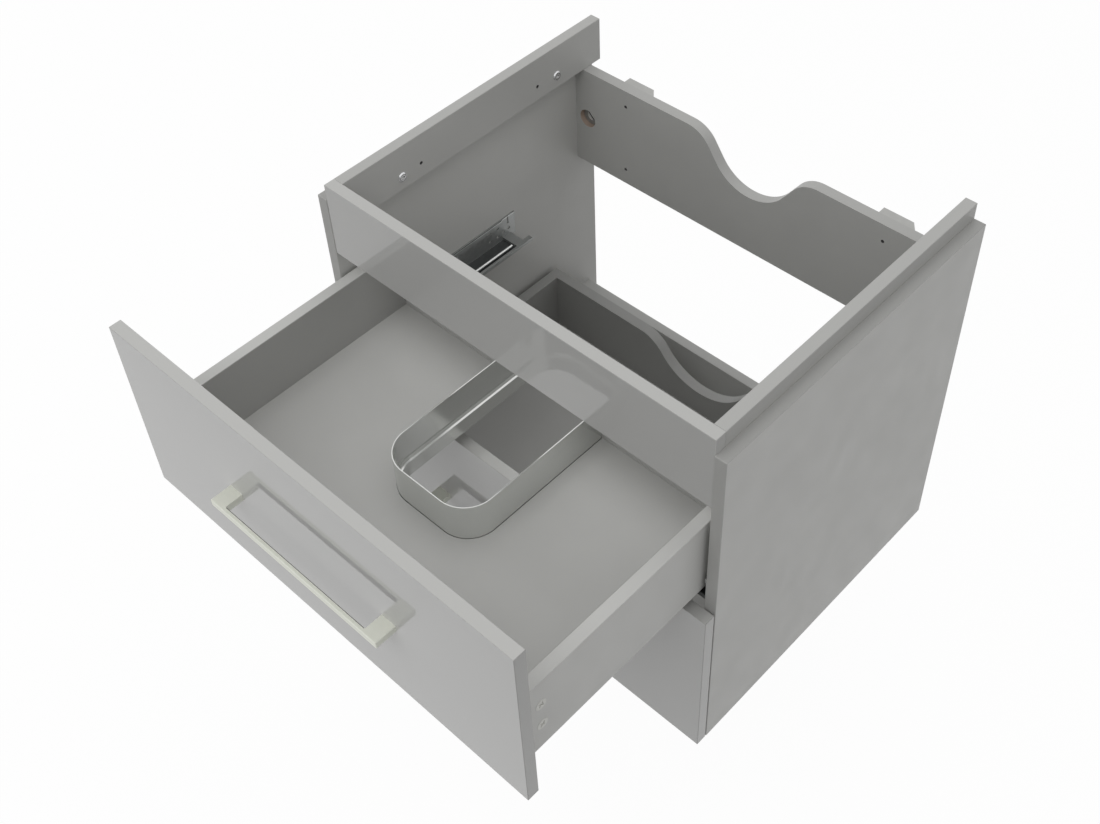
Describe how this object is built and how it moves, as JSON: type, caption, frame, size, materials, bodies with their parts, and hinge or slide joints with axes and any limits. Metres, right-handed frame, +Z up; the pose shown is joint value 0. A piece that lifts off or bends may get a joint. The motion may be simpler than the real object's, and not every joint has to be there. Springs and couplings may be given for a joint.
{
  "type": "vanity cabinet",
  "caption": "Wall-hung vanity base unit in light grey gloss with two handled drawers on telescopic runners and a slotted upper drawer for the drain.",
  "frame": {"origin": "on the wall plane, in the middle of the width, level with the undersides of the side panels", "axes": "+Z up, +Y into the wall, so the drawers open towards -Y, +X to the right seen from the room"},
  "size_m": [0.64, 0.817, 0.5705],
  "materials": {
    "gloss_lacquer": "light grey high-gloss lacquer on 16 mm board",
    "satin_board": "grey satin melamine on 16 mm and 8 mm board",
    "polished_steel": "polished",
    "handle_metal": "satin champagne anodised",
    "galvanised_steel": "galvanised sheet",
    "zinc_steel": "zinc plated",
    "light_plastic": "light grey, matt",
    "dark_plastic": "dark grey, matt",
    "dowel_wood": "raw beech"
  },
  "bodies": {
    "cabinet": {"side_panel_left": "satin_board", "side_panel_right": "satin_board", "top_strip_left": "satin_board", "top_strip_right": "satin_board", "front_rail": "gloss_lacquer", "back_rail": "satin_board", "lower_back_rail": "satin_board", "bottom_panel": "satin_board", "carcass_dowels": "dowel_wood", "strip_screws": "zinc_steel", "hanger_left": "zinc_steel", "hanger_right": "zinc_steel", "hanger_screws": "zinc_steel", "spacer_block_left": "light_plastic", "spacer_block_right": "light_plastic", "upper_runner_left": "galvanised_steel", "upper_runner_right": "galvanised_steel", "lower_runner_left": "galvanised_steel", "lower_runner_right": "galvanised_steel", "runner_screws": "zinc_steel"},
    "upper_drawer": {"upper_front": "gloss_lacquer", "upper_handle": "handle_metal", "upper_handle_screws": "zinc_steel", "upper_side_left": "satin_board", "upper_side_right": "satin_board", "upper_floor": "satin_board", "upper_back_left": "satin_board", "upper_back_right": "satin_board", "slot_band": "polished_steel", "upper_cams": "light_plastic", "upper_cam_bolts": "zinc_steel", "upper_dowels": "dowel_wood", "upper_slide_left": "galvanised_steel", "upper_slide_right": "galvanised_steel", "upper_slide_screws": "zinc_steel"},
    "upper_middles": {"upper_middle_left": "galvanised_steel", "upper_middle_right": "galvanised_steel", "upper_glides": "dark_plastic"},
    "lower_drawer": {"lower_front": "gloss_lacquer", "lower_handle": "handle_metal", "lower_handle_screws": "zinc_steel", "lower_side_left": "satin_board", "lower_side_right": "satin_board", "lower_floor": "satin_board", "lower_back": "satin_board", "lower_cams": "light_plastic", "lower_cam_bolts": "zinc_steel", "lower_dowels": "dowel_wood", "lower_slide_left": "galvanised_steel", "lower_slide_right": "galvanised_steel", "lower_slide_screws": "zinc_steel"},
    "lower_middles": {"lower_middle_left": "galvanised_steel", "lower_middle_right": "galvanised_steel", "lower_glides": "dark_plastic"}
  },
  "joints": [
    {"name": "upper_drawer_slide", "type": "slide", "parent": "cabinet", "child": "upper_drawer", "axis": [0, -1, 0], "range_m": [-0.289, 0]},
    {"name": "upper_middle_slide", "type": "slide", "parent": "cabinet", "child": "upper_middles", "axis": [0, -1, 0], "range_m": [-0.1445, 0]},
    {"name": "lower_drawer_slide", "type": "slide", "parent": "cabinet", "child": "lower_drawer", "axis": [0, -1, 0], "range_m": [0, 0.289]},
    {"name": "lower_middle_slide", "type": "slide", "parent": "cabinet", "child": "lower_middles", "axis": [0, -1, 0], "range_m": [0, 0.1445]}
  ],
  "couplings": [
    {"joint": "upper_middle_slide", "follows": "upper_drawer_slide", "ratio": 0.5},
    {"joint": "lower_middle_slide", "follows": "lower_drawer_slide", "ratio": 0.5}
  ]
}
